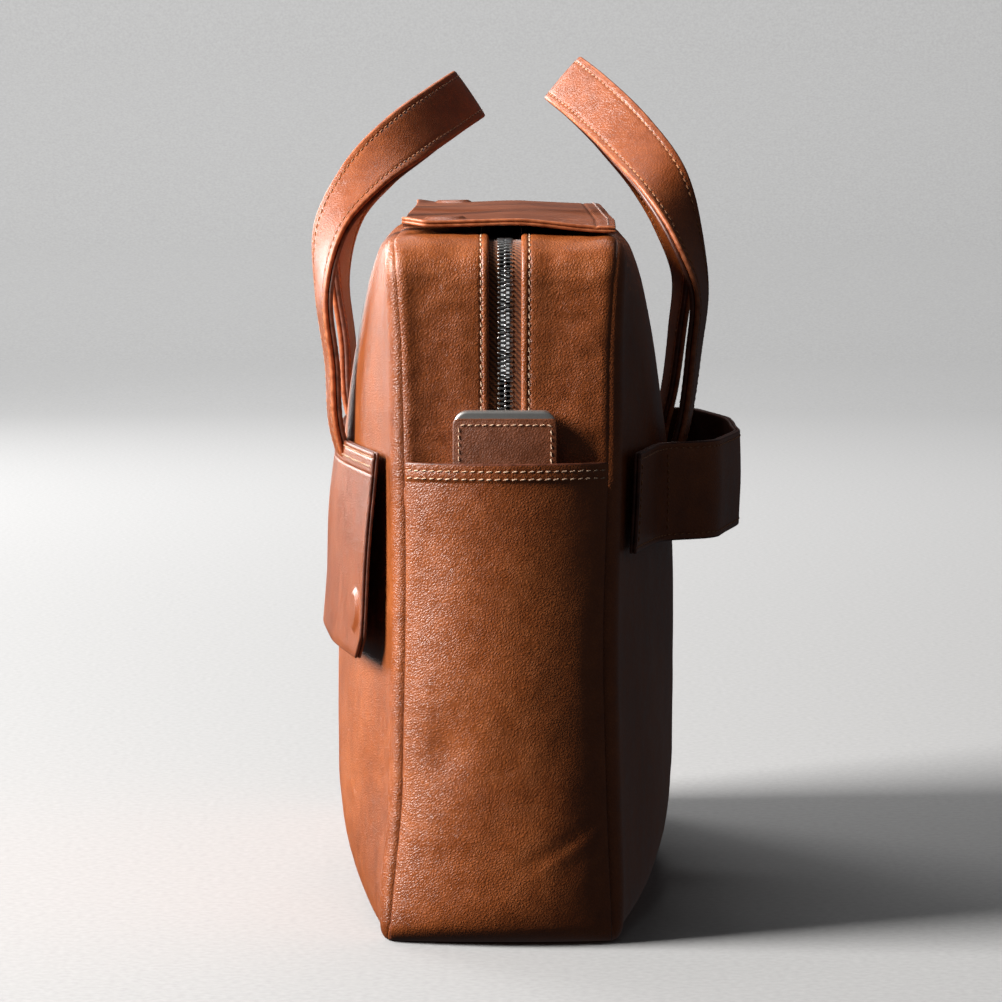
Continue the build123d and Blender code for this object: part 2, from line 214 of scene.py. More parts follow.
def woven(name, light, dark, scale, direction, rough=0.85):
    """Cloth with a fine rib: twill where the ribs run diagonally."""
    material, tree, shader = new_material(name, Roughness=rough, Sheen_Weight=0.25)
    where = add_node(tree, "ShaderNodeTexCoord").outputs["Object"]
    rib = texture(tree, "ShaderNodeTexWave", where, scale, bands_direction=direction,
                  Distortion=0.6, Detail=1.0).outputs["Fac"]
    cross = texture(tree, "ShaderNodeTexWave", where, scale * 1.3, bands_direction="Z",
                    Distortion=0.4).outputs["Fac"]
    fuzz = noise_of(tree, where, 400.0, Detail=4.0)
    weave = weighted_sum(tree, (rib, 0.6), (cross, 0.25), (fuzz, 0.3))
    tree.links.new(ramp(tree, weave, [(0.25, dark), (0.8, light)]), shader.inputs["Base Color"])
    roughen(tree, shader, 0.5, 0.0003, weave)
    return material


def sewing_thread(name, light, dark):
    return woven(name, light, dark, 260.0, "DIAGONAL", 0.6)


tan = leather("tan_leather", rgb(176, 96, 42), rgb(148, 75, 28), rgb(110, 51, 16),
              rough=(0.34, 0.48), coat=0.25)
flap_leather = leather("flap_leather", rgb(158, 84, 40), rgb(132, 65, 27), rgb(100, 46, 16),
                       rough=(0.30, 0.44), grain=0.6, coat=0.3)
under_leather = leather("brown_lining_leather", rgb(104, 56, 28), rgb(80, 40, 18), rgb(56, 27, 11),
                        grain=0.7)
strap_leather = leather("strap_leather", rgb(168, 88, 38), rgb(142, 69, 25), rgb(104, 47, 15),
                        rough=(0.32, 0.46), grain=0.8, coat=0.25)
case_leather = leather("case_leather", rgb(138, 74, 34), rgb(112, 56, 22), rgb(80, 38, 13),
                       grain=0.7)
edge_paint = painted_edge("edge_paint", rgb(112, 60, 40), rgb(66, 32, 20))
# A lighter copy of edge_paint: painted light for the edges that face the lamps.
edge_paint_painted_light = painted_edge("edge_paint_painted_light", rgb(188, 108, 66), rgb(136, 66, 32))
thread = sewing_thread("cream_thread", rgb(226, 192, 160), rgb(176, 130, 96))
brown_thread = sewing_thread("brown_thread", rgb(112, 62, 34), rgb(72, 38, 20))
tan_thread = sewing_thread("tan_thread", rgb(186, 126, 80), rgb(134, 82, 46))
tape_cloth = woven("brown_twill", rgb(150, 88, 48), rgb(74, 38, 20), 250.0, "DIAGONAL")
lining_cloth = woven("lining_cloth", rgb(150, 132, 108), rgb(104, 90, 72), 300.0, "X")
dark_metal = metal("antique_nickel", rgb(214, 214, 214), rgb(150, 148, 144), 0.26)
bright_metal = metal("satin_metal", rgb(212, 210, 206), rgb(170, 168, 164), 0.38)
plated_metal = metal("plated_metal", rgb(205, 205, 208), rgb(170, 170, 175), 0.2)
board = painted_edge("fibreboard", rgb(92, 82, 70), rgb(58, 50, 42))


# ---------------------------------------------------------------- mesh tools


def add_mesh(name, points, faces, materials, indices=None):
    """A closed, smooth-shaded mesh from points in millimetres."""
    mesh = bpy.data.meshes.new(name)
    metres = (np.asarray(points).reshape(-1, 3) * MM).tolist()
    mesh.from_pydata(metres, [], [tuple(map(int, f)) for f in faces])
    for material in materials:
        mesh.materials.append(material)
    if indices is not None:
        mesh.polygons.foreach_set("material_index", np.asarray(indices, dtype=np.int32))
    edit = bmesh.new()
    edit.from_mesh(mesh)
    bmesh.ops.recalc_face_normals(edit, faces=edit.faces)
    for face in edit.faces:
        face.smooth = True
    edit.to_mesh(mesh)
    edit.free()
    mesh.set_sharp_from_angle(angle=math.radians(SMOOTH_ANGLE))
    obj = bpy.data.objects.new(name, mesh)
    bpy.context.scene.collection.objects.link(obj)
    return obj


def place(obj, on, slot, *nodes):
    """Give a piece its body, or, when it is given a bend instead, only bake its transform, and hide
    the CAD nodes that it stands for. The slot is not used."""
    if isinstance(on, str):
        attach(obj, on)
    else:
        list(on)
        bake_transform(obj)
    if nodes:
        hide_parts(*nodes)
    return obj


def unit(vectors):
    return vectors / np.maximum(np.linalg.norm(vectors, axis=-1, keepdims=True), 1e-9)


def grid(surface, us, vs):
    return surface(*np.meshgrid(np.asarray(us, float), np.asarray(vs, float), indexing="ij"))


def normals_of(points, flip):
    across = np.cross(np.gradient(points, axis=0), np.gradient(points, axis=1))
    return unit(-across if flip else across)


def loop_indices(m, n):
    """The border of an m by n grid as flat indices, once round."""
    return np.array([i * n for i in range(m)] + [(m - 1) * n + j for j in range(1, n)]
                    + [i * n + n - 1 for i in range(m - 2, -1, -1)] + [j for j in range(n - 2, 0, -1)])


def grid_faces(m, n, start=0):
    index = np.arange(m * n).reshape(m, n) + start
    return np.stack([index[:-1, :-1], index[1:, :-1], index[1:, 1:], index[:-1, 1:]], -1).reshape(-1, 4)


def join_loops(first, second):
    return np.stack([first, np.roll(first, -1), np.roll(second, -1), second], -1)


def shell_mesh(name, outer, inner, rings, materials):
    """A closed skin: an outer and an inner grid joined round their borders through rings."""
    m, n = outer.shape[:2]
    border = loop_indices(m, n)
    points = [outer.reshape(-1, 3), inner.reshape(-1, 3)]
    faces = [grid_faces(m, n), grid_faces(m, n, m * n)]
    kinds = [np.zeros(len(faces[0])), np.full(len(faces[1]), len(materials) - 1)]
    previous, count = border, 2 * m * n
    for ring in list(rings) + [None]:
        if ring is None:
            current = border + m * n
        else:
            points.append(ring)
            current = np.arange(len(ring)) + count
            count += len(ring)
        faces.append(join_loops(previous, current))
        kinds.append(np.full(len(border), min(1, len(materials) - 1)))
        previous = current
    return add_mesh(name, np.concatenate(points), np.concatenate(faces), materials, np.concatenate(kinds))


def sheet(name, points, thickness, materials, flip=False, steps=5):
    """A sheet of leather with its outer face on the grid and half-round edges. The materials
    are the outer face's, the edge's and the inner face's."""
    normal = normals_of(points, flip)
    m, n = points.shape[:2]
    out = np.zeros_like(points)
    du, dv = unit(np.gradient(points, axis=0)), unit(np.gradient(points, axis=1))
    out[0] -= du[0]
    out[-1] += du[-1]
    out[:, 0] -= dv[:, 0]
    out[:, -1] += dv[:, -1]
    border = loop_indices(m, n)
    p, nn, o = (a.reshape(-1, 3)[border] for a in (points, normal, out))
    o = unit(o - nn * np.sum(o * nn, axis=-1, keepdims=True))
    half = thickness / 2
    rings = []
    for k in range(1, steps):
        angle = math.pi * k / steps
        rings.append(p - nn * half * (1 - math.cos(angle)) + o * half * math.sin(angle))
    return shell_mesh(name, points, points - normal * thickness, rings, materials)


def along_surface(surface, us, vs, flip=False, step=0.02):
    """Points and normals of a surface along a line given by its two coordinates."""
    us, vs = np.broadcast_arrays(np.asarray(us, float), np.asarray(vs, float))
    du = surface(us + step, vs) - surface(us - step, vs)
    dv = surface(us, vs + step) - surface(us, vs - step)
    normal = unit(np.cross(du, dv))
    return surface(us, vs), -normal if flip else normal


def lengths_along(points):
    """How far along a run of points each one lies."""
    return np.concatenate([[0], np.cumsum(np.linalg.norm(np.diff(points, axis=0), axis=1))])


def read_rows(at, lengths, rows):
    """Rows of numbers that belong to lengths, read between them."""
    return np.stack([np.interp(at, lengths, column) for column in rows.T], -1)


def resample(points, normals, pitch):
    """Evenly spaced places on a line, with the line's direction and the surface's normal there."""
    lengths = lengths_along(points)
    count = max(2, int(round(lengths[-1] / pitch)))
    at = (np.arange(count) + 0.5) * lengths[-1] / count
    ahead, behind = read_rows(at + 0.4, lengths, points), read_rows(at - 0.4, lengths, points)
    return read_rows(at, lengths, points), unit(ahead - behind), unit(read_rows(at, lengths, normals))


# Stations along a stitch as (place along it, share of its full thickness).
STITCH_STATIONS = ((-0.5, 0.0), (-0.4, 0.72), (-0.12, 1.0), (0.12, 1.0), (0.4, 0.72), (0.5, 0.0))
STITCH_SIDES = 7
STITCH_LIFT, STITCH_DIVE = 0.12, 0.5  # a stitch's height off the leather, and its ends' fall into it


def stitches(name, lines, pitch=STITCH, length=2.5, width=0.66, height=0.42, slant=9.0,
             colour=thread):
    """Rows of saddle stitches. Each line is a run of points and the surface normals there."""
    points, faces = [], []
    template, counts = [], []
    for x, size in STITCH_STATIONS:
        sink = STITCH_DIVE if size == 0 else 0.0
        for k in range(1 if size == 0 else STITCH_SIDES):
            angle = 2 * math.pi * k / STITCH_SIDES
            template.append((x * length, size * width / 2 * math.cos(angle),
                             size * height * math.sin(angle) + STITCH_LIFT - sink))
        counts.append(1 if size == 0 else STITCH_SIDES)
    starts = np.concatenate([[0], np.cumsum(counts)])
    pattern = []
    for i in range(len(counts) - 1):
        a, b = starts[i], starts[i + 1]
        for k in range(STITCH_SIDES):
            j = (k + 1) % STITCH_SIDES
            if counts[i] == 1:
                pattern.append((a, b + k, b + j))
            elif counts[i + 1] == 1:
                pattern.append((a + k, b, a + j))
            else:
                pattern.append((a + k, b + k, b + j, a + j))
    template = np.array(template)
    turn = math.radians(slant)
    for line_points, line_normals in lines:
        for centre, forward, up in zip(*resample(line_points, line_normals, pitch)):
            side = np.cross(up, forward)
            forward = forward * math.cos(turn) + side * math.sin(turn)
            side = np.cross(up, forward)
            start = len(points) * len(template)
            points.append(centre + template[:, :1] * forward + template[:, 1:2] * side + template[:, 2:] * up)
            faces += [tuple(start + v for v in face) for face in pattern]
    return add_mesh(name, np.concatenate(points), faces, [colour])


def sew(name, lines, on="shell", slot="tan_leather", **more):
    place(stitches(name, lines, **more), on, slot)


def sweep(name, path, facing, profile, materials):
    """A closed ring with one cross-section: profile is (across, up) pairs."""
    ahead = unit(np.roll(path, -1, axis=0) - np.roll(path, 1, axis=0))
    side = unit(np.cross(facing, ahead))
    rows = np.stack([path + side * a + facing * h for a, h in profile], 1)
    m, n = rows.shape[:2]
    index = np.arange(m * n).reshape(m, n)
    right, down = np.roll(index, -1, axis=1), np.roll(index, -1, axis=0)
    faces = np.stack([index, down, np.roll(down, -1, axis=1), right], -1).reshape(-1, 4)
    return add_mesh(name, rows, faces, materials)


def stack_faces(count, n, start=0):
    """Faces round a stack of closed loops of n points each, and over its two flat ends."""
    index = np.arange(count * n).reshape(count, n) + start
    faces = [tuple(index[0][::-1]), tuple(index[-1])]
    for low, high in zip(index[:-1], index[1:]):
        faces += [tuple(f) for f in join_loops(low, high)]
    return faces


def stack(name, loops, materials):
    """A solid through a stack of closed loops."""
    loops = np.asarray(loops, float)
    return add_mesh(name, loops, stack_faces(*loops.shape[:2]), materials)


def rounded_loop(width, height, radius, steps=8):
    corners = ((1, 1, 0), (-1, 1, 90), (-1, -1, 180), (1, -1, 270))
    loop = []
    for sx, sz, start in corners:
        cx, cz = sx * (width / 2 - radius), sz * (height / 2 - radius)
        for k in range(steps + 1):
            angle = math.radians(start + 90 * k / steps)
            loop.append((cx + radius * math.cos(angle), cz + radius * math.sin(angle)))
    return np.array(loop)


def ruffle(points, size, amount, seed):
    """A smooth bump height for each point: slow unevenness, the same on each run."""
    flat = points.reshape(-1, 3)
    shift = Vector((seed * 3.7, seed * 1.9, seed * 5.3))
    values = [noise.noise(Vector(p) / size + shift) for p in flat]
    return amount * np.array(values).reshape(points.shape[:-1])


def ease(t):
    t = np.clip(t, 0, 1)
    return t * t * (3 - 2 * t)


def gauss(distance, width):
    return np.exp(-(distance / width) ** 2)


def lines_between(low, high, step, *dense):
    """Grid lines at an even step, with closer ones wherever detail asks for them."""
    values = list(np.linspace(low, high, max(2, int(round((high - low) / step)) + 1)))
    for start, end, close in dense:
        values = [v for v in values if not start - close / 2 < v < end + close / 2]
        values += list(np.linspace(start, end, max(2, int(round((end - start) / close)) + 1)))
    return np.array(sorted(values))


EDGE = (0, 0.2, 0.6, 1.2, 2.0, 3.0, 4.2, 5.6, 7.2, 9.2, 11.6, 14.6, 18.0)  # lines in from an edge


def edged_lines(low, high, step):
    """Grid lines at an even step, crowded towards both ends."""
    count = int((high - low - 2 * EDGE[-1]) / step) + 1
    inner = np.linspace(low + EDGE[-1], high - EDGE[-1], count)
    return np.concatenate([[low + e for e in EDGE[:-1]], inner, [high - e for e in EDGE[-2::-1]]])


# ---------------------------------------------------------------- panels


def panel_depth(y, z):
    """How far the stuffed panel's face stands out in X from the middle plane."""
    dy, dz = LENGTH / 2 - np.abs(y), np.minimum(z, HEIGHT - z)
    radius = np.where(z < HEIGHT / 2, CORNER_LOW, CORNER)
    corner = radius - np.hypot(np.maximum(radius - dy, 0), np.maximum(radius - dz, 0))
    edge = np.where((dy < radius) & (dz < radius), corner, np.minimum(dy, dz))
    roll = np.sqrt(np.clip(1 - (1 - np.clip(edge / RIM_WIDTH, 0, 1)) ** 2, 0, 1))
    along = np.clip(1 - (y / (LENGTH / 2)) ** 2, 0, 1) ** 1.25
    w = np.clip(np.where(z > 110, (z - 110) / 190, (60 - z) / 60), 0, 1)
    upright = np.clip(1 - w**2, 0, 1) ** 0.62
    v = 1 - ((1 - along) ** 3 + (1 - upright) ** 3) ** (1 / 3)
    return GUSSET_HALF + RIM_ROLL * roll + CROWN / 2 * (v + np.sqrt(v * v + 0.0016)) - 0.02 * CROWN


TOP_DROP, END_DRAW = 4.5, 4.0  # how far the panels' top and end edges are drawn in
# For each side: the lean out at the base and at the top as (amount, reach) pairs, and the waist
# between them as (amount, height of its middle, reach).
FLARE = {-1: (5.0, 70.0, 2.6, 60.0), 1: (1.6, 60.0, 2.6, 60.0)}
PINCH = {-1: (1.9, 160.0, 75.0), 1: (2.3, 125.0, 60.0)}


def flare(x, z):
    """The seams lean outwards at the base and at the top and draw in between, because the panels'
    stuffing pulls them."""
    moved = 0
    for side, (low, low_reach, high, high_reach) in FLARE.items():
        amount = low * ease((low_reach - z) / low_reach)
        amount = amount + high * ease((z - HEIGHT + high_reach) / high_reach)
        pinch, middle, reach = PINCH[side]
        amount = amount - pinch * gauss(z - middle, reach)
        share = np.clip(side * x / GUSSET_HALF, 0, 1) ** 2
        share = share * np.clip(1 - (side * x - GUSSET_HALF) / 30, 0, 1)
        moved = moved + side * amount * share
    return x + moved


def round_corners(y, z):
    """Bend a rectangular grid's corners to the outline's radius."""
    r = np.where(z < HEIGHT / 2, CORNER_LOW, CORNER)
    p = np.clip((np.abs(y) - (LENGTH / 2 - r)) / r, 0, 1)
    q = np.clip((np.abs(z - HEIGHT / 2) - (HEIGHT / 2 - r)) / r, 0, 1)
    y_bent = np.sign(y) * (LENGTH / 2 - r + r * p * np.sqrt(1 - q * q / 2))
    z_bent = HEIGHT / 2 + np.sign(z - HEIGHT / 2) * (HEIGHT / 2 - r + r * q * np.sqrt(1 - p * p / 2))
    return np.where(p > 0, y_bent, y), np.where(q > 0, z_bent, z)


RIM_INNER_X = 41.5  # the panels' layers reach in this far from the seam
RIM_RINGS = ((43.3, 0.0), (42.9, 0.8), (42.7, 3.0), (42.4, 6.0))  # the turned-in rim: (x, inset)


def panel_mesh(name, side, shrink, materials, seed):
    """The panel's leather, or its board or lining when shrunk: crowned, with its rim turned back
    into the groove beside the gusset."""
    half_y, half_z = LENGTH / 2, HEIGHT / 2
    y, z = np.meshgrid(edged_lines(-half_y, half_y, 5.5), edged_lines(0, HEIGHT, 5.5), indexing="ij")
    y, z = round_corners(y, z)
    x = panel_depth(y, z)
    flat = np.stack([x, y, z], -1)
    inside = ease((x - 50) / 12)
    x = x + inside * (ruffle(flat, 62, 1.5, seed) + ruffle(flat, 24, 0.35, seed + 5))
    inset = shrink + (6.0 if shrink else 0.0)
    y, z = y * (1 - (inset + END_DRAW) / half_y), half_z + (z - half_z) * (1 - inset / half_z)
    z = z - TOP_DROP * ease((z - 225) / 75)
    x = np.maximum(x - shrink, RIM_INNER_X)
    outer = np.stack([flare(side * x, z), y, z], -1)
    inner_x = np.maximum(x - 1.9, RIM_INNER_X + 0.1)
    inner = np.stack([flare(side * inner_x, z), y * 0.966, half_z + (z - half_z) * 0.955], -1)
    border = loop_indices(*outer.shape[:2])
    rim = outer.reshape(-1, 3)[border]
    rings = []
    for at, inset in RIM_RINGS:
        ring = rim.copy()
        ring[:, 0] = flare(np.full(len(ring), side * at), ring[:, 2])
        ring[:, 1] *= 1 - inset / half_y
        ring[:, 2] = half_z + (ring[:, 2] - half_z) * (1 - inset / half_z)
        rings.append(ring)
    return shell_mesh(name, outer, inner, rings, materials)


# For each layer: how far it lies in from the leather's face, on the back and on the front panel.
# The front board lies deeper, behind the slit pocket.
PANEL_LAYERS = (
    ("leather", 0, 0, tan, "tan_leather", "panel"),
    ("board", 2.6, 9.6, board, "board", "stiffener"),
    ("lining", 5.2, 12.0, lining_cloth, "lining_cloth", "lining"),
)
for layer, back_depth, front_depth, material, slot_name, node in PANEL_LAYERS:
    for side, end, depth, seed in ((1, "back", back_depth, 1), (-1, "front", front_depth, 2)):
        piece = panel_mesh(f"{end}_panel_{layer}", side, depth, [material], seed)
        place(piece, "shell", slot_name, f"{end}_{node}")

# The slit pocket under the front flap: rounded lips all the way round its opening.
SLIT_LENGTH, SLIT_HEIGHT, SLIT_CORNER, SLIT_Z = 150, 15, 5, 180
loop = rounded_loop(SLIT_LENGTH, SLIT_HEIGHT, SLIT_CORNER)
slit_y, slit_z = loop[:, 0], SLIT_Z + loop[:, 1]
welt_path = np.stack([-panel_depth(slit_y, slit_z) - 0.1, slit_y, slit_z], -1)
welt_normal = np.tile([-1.0, 0, 0], (len(loop), 1))
lip = [(3.0 * math.cos(a), 1.1 * math.sin(a)) for a in np.linspace(0, 2 * math.pi, 12, endpoint=False)]
welt = sweep("front_pocket_lips", welt_path, welt_normal, lip, [tan])
place(welt, "shell", "tan_leather", "front_pocket_welt")


# ---------------------------------------------------------------- gusset

TOP_RUN = OUTER_Y - CORNER
ARC = CORNER * math.pi / 2
ARC_LOW = CORNER_LOW * math.pi / 2
DOWN_RUN = GUSSET_TOP - CORNER - CORNER_LOW
BASE_RUN = OUTER_Y - CORNER_LOW
HALF_ROUND = TOP_RUN + ARC + DOWN_RUN + ARC_LOW + BASE_RUN
JOIN_Z = 192.0  # where the zip strips meet the lower gusset
JOIN_S = TOP_RUN + ARC + (GUSSET_TOP - CORNER - JOIN_Z)


def rim(s, x, h):
    """A point of the gusset: s runs from the middle of the top towards +Y and down to the middle
    of the base, and h is the height off the gusset's outer face."""
    t = np.abs(s)
    first = np.clip(t - TOP_RUN, 0, ARC) / CORNER
    down = np.clip(t - TOP_RUN - ARC, 0, DOWN_RUN)
    second = np.clip(t - TOP_RUN - ARC - DOWN_RUN, 0, ARC_LOW) / CORNER_LOW
    back = np.clip(t - TOP_RUN - ARC - DOWN_RUN - ARC_LOW, 0, None)
    angle = first + second
    ny, nz = np.sin(angle), np.cos(angle)
    top_y = np.minimum(t, TOP_RUN)
    y = top_y + CORNER * np.sin(first) - CORNER_LOW * (1 - np.cos(second)) - back
    z = GUSSET_TOP - CORNER * (1 - np.cos(first)) - down - CORNER_LOW * np.sin(second)
    sign = np.where(s < 0, -1.0, 1.0)
    x, h = np.broadcast_arrays(x, h)
    z = z + nz * h
    return np.stack([flare(x + 0 * t, z), sign * (y + ny * h), z], -1)


ZIP_STITCH = 10.0  # the stitch line beside the zip, from the middle
STRIP_MAX = 0.22  # the strips stand no prouder than this, so that the case slides past them


def edge_roll(x):
    """The gusset's fall towards the seams: slightly crowned, then rolled under into the groove."""
    x = np.abs(x)
    rolled = np.clip(x - 39.3, 0, 4.4) / 4.4
    return -0.5 * (x / 43.5) ** 2 - 1.7 * (1 - np.sqrt(np.clip(1 - rolled**2, 0, 1)))


def strip_surface(side, seed):
    def surface(s, x):
        base = rim(s, side * x, 0 * x)
        height = edge_roll(x) - 0.4 * gauss(x - ZIP_STITCH, 0.55) + 0.2 * gauss(x - 8.7, 0.8)
        swell = ease((x - 12) / 8) * ease((43 - x) / 8)
        waves = ruffle(base, 26, 1.3, seed) + ruffle(base * [1, 1, 2.2], 9, 0.5, seed + 3)
        height = height + swell * (waves - 0.25)
        height = np.minimum(height, STRIP_MAX)
        return rim(s, side * x, height)
    return surface


LIP_X = [7.6, 8.1, 8.8, 9.3, 9.7, 10.0, 10.3, 10.7, 11.4]  # grid lines across the lip by the zip
FIELD_X = [13, 15, 17.5, 20, 23, 26, 29, 32, 35, 37.5, 39.2, 40.1, 40.9, 41.6, 42.2, 42.7, 43.1, 43.4]
STRIP_X = LIP_X + FIELD_X
STRIP_S = lines_between(-JOIN_S, JOIN_S, 5, (TOP_RUN - 1, TOP_RUN + ARC + 1, 1.6),
                        (-TOP_RUN - ARC - 1, -TOP_RUN + 1, 1.6), (-JOIN_S, -TOP_RUN - ARC - 1.7, 2.2))
for side, name, seed in ((-1, "front", 11), (1, "back", 12)):
    surface = strip_surface(side, seed)
    piece = sheet(f"gusset_zip_strip_{name}", grid(surface, STRIP_S, STRIP_X), 2.2, [tan], flip=side > 0)
    place(piece, "shell", "tan_leather", f"gusset_zip_{name}")
    line = along_surface(surface, np.linspace(-JOIN_S, JOIN_S, 420), ZIP_STITCH, flip=side > 0)
    sew(f"zip_strip_stitches_{name}", [line])


def lower_surface(s, x):
    """The lower gusset, from one end's join under the base to the other's: s counts from the
    middle of the base."""
    turned = HALF_ROUND - np.abs(s)
    base = rim(turned, x, 0 * x)
    top = ease((np.abs(s) - (HALF_ROUND - JOIN_S) + 9) / 3)
    height = edge_roll(x) * ease((base[..., 2] - 1) / 10) + 0.9 * top
    swell = ease((43 - np.abs(x)) / 8) * ease((base[..., 2] - 14) / 20)
    height = height + swell * (ruffle(base, 40, 1.2, 15) + ruffle(base, 12, 0.4, 18))
    height = np.where(base[..., 2] < 0.5, np.minimum(height, 0), height)
    point = rim(turned, x, height)
    point[..., 1] = np.where(s < 0, -point[..., 1], point[..., 1])
    return point


LOWER_END = HALF_ROUND - JOIN_S
LOWER_S = lines_between(-LOWER_END, LOWER_END, 7,
                        (LOWER_END - 12, LOWER_END, 0.8), (-LOWER_END, -LOWER_END + 12, 0.8),
                        (BASE_RUN - 1, BASE_RUN + ARC_LOW + 1, 1.4),
                        (-BASE_RUN - ARC_LOW - 1, -BASE_RUN + 1, 1.4))
LOWER_X = np.concatenate([[-v for v in FIELD_X[::-1]], np.linspace(-10, 10, 9), FIELD_X])
piece = sheet("lower_gusset", grid(lower_surface, LOWER_S, LOWER_X), 2.2, [tan])
place(piece, "shell", "tan_leather", "gusset_base")
rows = []
for end in (-1, 1):
    for inset in (3.0, 7.0):
        rows.append(along_surface(lower_surface, end * (LOWER_END - inset), np.linspace(-42, 42, 60)))
sew("gusset_join_stitches", rows)

lining_s = lines_between(-HALF_ROUND, HALF_ROUND, 5)
LINING_LEVEL = -5.0
for side, name in ((-1, "front"), (1, "back")):
    lining_face = lambda s, x: rim(s, side * x, LINING_LEVEL + 0 * x)
    points = grid(lining_face, lining_s[2:-2], np.linspace(9.5, 42, 8))
    piece = sheet(f"gusset_lining_{name}", points, 0.7, [lining_cloth], flip=side > 0, steps=3)
    place(piece, "shell", "lining_cloth", *(["gusset_lining"] if side > 0 else []))

# ---------------------------------------------------------------- zip

TAPE_LEVEL, TAPE_RIDGE_X = -2.35, 4.6  # the tape's face, and the ridge woven into it
TAPE_X = [2.4, 3.2, 3.9, 4.3, 4.6, 4.9, 5.4, 6.5, 8.0, 11.0]
for side, name in ((-1, "front"), (1, "back")):
    tape_face = lambda s, x: rim(s, side * x, TAPE_LEVEL + 0.12 * gauss(x - TAPE_RIDGE_X, 0.5))
    points = grid(tape_face, lines_between(-JOIN_S, JOIN_S, 4), TAPE_X)
    piece = sheet(f"zip_tape_weave_{name}", points, 0.7, [tape_cloth], flip=side > 0, steps=3)
    place(piece, "shell", "brown_tape", f"zip_tape_{name}")

TOOTH_PITCH = 2.1
# A tooth's outline as (across, along) the chain, and its layers as (height, size).
TOOTH = np.array([(-0.5, -0.32), (-0.5, 0.32), (0.2, 0.5), (1.2, 0.42), (2.6, 0.5), (3.3, 0.38),
                  (3.3, -0.38), (2.6, -0.5), (1.2, -0.42), (0.2, -0.5)])
TOOTH_LAYERS = ((-3.7, 1.0), (-2.2, 1.0), (-1.85, 0.93), (-1.6, 0.76), (-1.48, 0.45))
TOOTH_MIDDLE = 1.4


def teeth(name, side, offset):
    points, faces = [], []
    n = len(TOOTH)
    positions = np.arange(-JOIN_S + 4 + offset, JOIN_S - 4, TOOTH_PITCH)
    for s in positions:
        start = len(points) * n * len(TOOTH_LAYERS)
        rows = []
        for h, size in TOOTH_LAYERS:
            x = side * (TOOTH_MIDDLE + (TOOTH[:, 0] - TOOTH_MIDDLE) * size)
            rows.append(rim(s + TOOTH[:, 1] * size, x, np.full(n, h)))
        points.append(np.concatenate(rows))
        faces += stack_faces(len(TOOTH_LAYERS), n, start)
    return add_mesh(name, np.concatenate(points), faces, [dark_metal])


for side, name, offset in ((-1, "front", 0.0), (1, "back", TOOTH_PITCH / 2)):
    place(teeth(f"zip_chain_{name}", side, offset), "shell", "dark_metal", f"zip_teeth_{name}")

# ---------------------------------------------------------------- end pocket

POCKET_TOP = 202.6
HEM_ROWS = (200.0, 196.8)
# Dents in the pocket: (x, z, half-width, half-height, depth).
POCKET_DENTS = ((-27, 84, 9, 12, 1.5), (-33, 149, 8, 18, 0.9), (24, 108, 16, 22, 0.6),
                (-6, 172, 20, 9, 0.3), (10, 60, 14, 10, 0.7))


def pocket_surface(u, z):
    """The patch pocket on the near end: u is -1 at the front seam and +1 at the back one."""
    across = np.clip(1 - np.abs(u) ** 2.0, 0, 1) ** 0.8
    foot = np.sqrt(np.clip(1 - (np.clip(22 - z, 0, 22) / 22) ** 2, 0, 1))
    full = 11.5 + 0.4 * ease((z - 150) / 50) + 0.8 * gauss(z - 70, 60)
    depth = 0.6 + full * across * (0.12 + 0.88 * foot)
    x = 43.2 * u
    for cx, cz, wide, tall, deep in POCKET_DENTS:
        depth = depth - deep * gauss(x - cx, wide) * gauss(z - cz, tall)
    # One slanting crease low down beside the back seam, with a soft ridge above it.
    crease = (x - 13.9) * (51 - 36.7) / (37.4 - 13.9) + 36.7 - z
    fold = -0.8 * gauss(crease, 2.2) + 0.5 * gauss(crease - 4, 3)
    depth = depth + fold * gauss(x - 26, 13)
    over_case = ease((42 - np.abs(x)) / 20) * ease((z - 90) / 40)
    hem = ease((z - 195.2) / 1.4)
    depth = depth + 0.7 * hem
    for row in HEM_ROWS:
        depth = depth - 0.22 * gauss(z - row, 0.5)
    base = np.stack([x, 0 * x, z], -1)
    middle = ease((1 - np.abs(u)) / 0.25) * ease((z - 12) / 20)
    middle = middle * (1 - hem) * (1 - 0.7 * over_case)
    depth = depth + middle * (ruffle(base, 34, 1.1, 31) + ruffle(base, 13, 0.35, 33))
    # Follow the gusset round under its lower corner.
    below = np.clip(CORNER_LOW - z, 0, CORNER_LOW)
    tuck = CORNER_LOW - np.sqrt(np.clip(CORNER_LOW**2 - below**2, 0, None))
    return np.stack([flare(x, z), -OUTER_Y - depth + tuck, z], -1)


near_seam = np.array([0.84, 0.89, 0.93, 0.96, 0.98, 0.993, 1])
pocket_u = np.concatenate([-near_seam[::-1], np.linspace(-0.78, 0.78, 40), near_seam])
pocket_z = lines_between(0.4, POCKET_TOP, 3.0, (194, POCKET_TOP, 0.42), (0.4, 14, 0.9))
points = grid(pocket_surface, pocket_u, pocket_z)
piece = sheet("end_pocket_leather", points, 1.5, [tan, edge_paint, under_leather])
place(piece, "shell", "tan_leather", "end_pocket")
rows = [along_surface(pocket_surface, np.linspace(-0.985, 0.985, 90), row) for row in HEM_ROWS]
sew("end_pocket_stitches", rows)

# ---------------------------------------------------------------- the case in the end pocket

CASE_W, CASE_H, CASE_MIDDLE = 43.0, 105.0, 172.5
CASE_Y = -OUTER_Y - 0.35  # the case's inner face
CASE_THICK = 7.2
SLEEVE_DROP = 3.6  # the leather faces stop this far below the metal's top


def case_loop(width, height, radius, off, drop=0.0):
    """A rounded outline at a distance off the gusset, with its middle lowered by drop."""
    flat = rounded_loop(width, height, radius)
    return np.stack([flat[:, 0], np.full(len(flat), CASE_Y - off), CASE_MIDDLE - drop + flat[:, 1]], -1)


